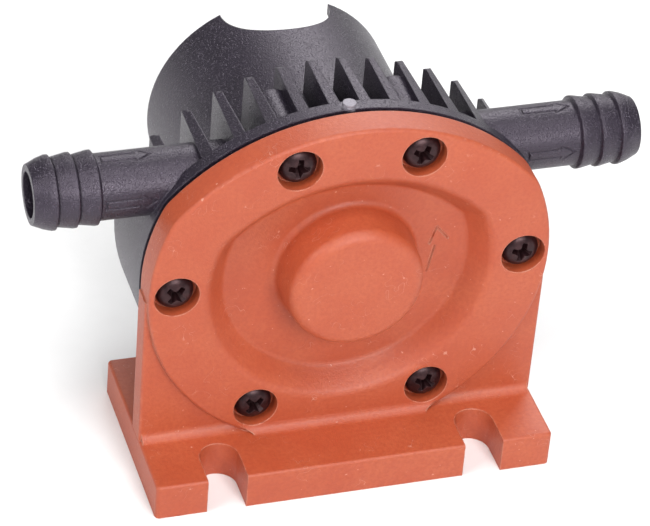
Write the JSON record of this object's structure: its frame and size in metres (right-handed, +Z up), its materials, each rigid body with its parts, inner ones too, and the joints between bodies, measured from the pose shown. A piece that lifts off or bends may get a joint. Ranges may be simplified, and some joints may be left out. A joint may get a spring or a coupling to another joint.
{
  "type": "hose pump",
  "caption": "Self-priming hose pump turned by an electric drill: finned housing with barbed hose tails, chuck hood, flexible impeller and a cover with a bench foot.",
  "frame": {"origin": "on the underside of the foot, straight below the shaft, in the plane of the cover's front face", "axes": "+X is the flow direction from inlet to outlet tail, +Y runs along the shaft from the cover to the drill, +Z is up"},
  "size_m": [0.1288, 0.0778, 0.083],
  "materials": {
    "cover_plastic": "satin moulded orange plastic with a fine grain",
    "housing_plastic": "satin glass-filled black plastic with fine speckle",
    "gasket_rubber": "matt cut sheet",
    "screw_steel": "black-brown oxide, slightly glossy",
    "stainless": "ground",
    "bronze": "sintered, oiled",
    "seal_rubber": "matt",
    "spring_steel": "blued",
    "shaft_steel": "turned and ground",
    "hub_brass": "turned",
    "impeller_rubber": "smooth moulded"
  },
  "bodies": {
    "root": {"front_cover": "cover_plastic", "cover_gasket": "gasket_rubber", "pump_housing": "housing_plastic", "cover_screws": "screw_steel", "front_wear_plate": "stainless", "rear_wear_plate": "stainless", "front_bush": "bronze", "rear_bush": "bronze", "seal_case": "stainless", "seal_lip": "seal_rubber", "seal_spring": "stainless", "seal_ring": "spring_steel"},
    "rotor": {"drive_shaft": "shaft_steel", "shaft_clips": "spring_steel", "front_thrust_washer": "stainless", "rear_thrust_washer": "stainless", "impeller_hub": "hub_brass", "drive_pin": "shaft_steel", "impeller": "impeller_rubber", "slinger": "seal_rubber"}
  },
  "joints": [
    {"name": "shaft_spin", "type": "hinge", "parent": "root", "child": "rotor", "pos_m": [0, 0, 0.0458], "axis": [0, 1, 0], "continuous": true, "deforming": ["impeller"]}
  ]
}
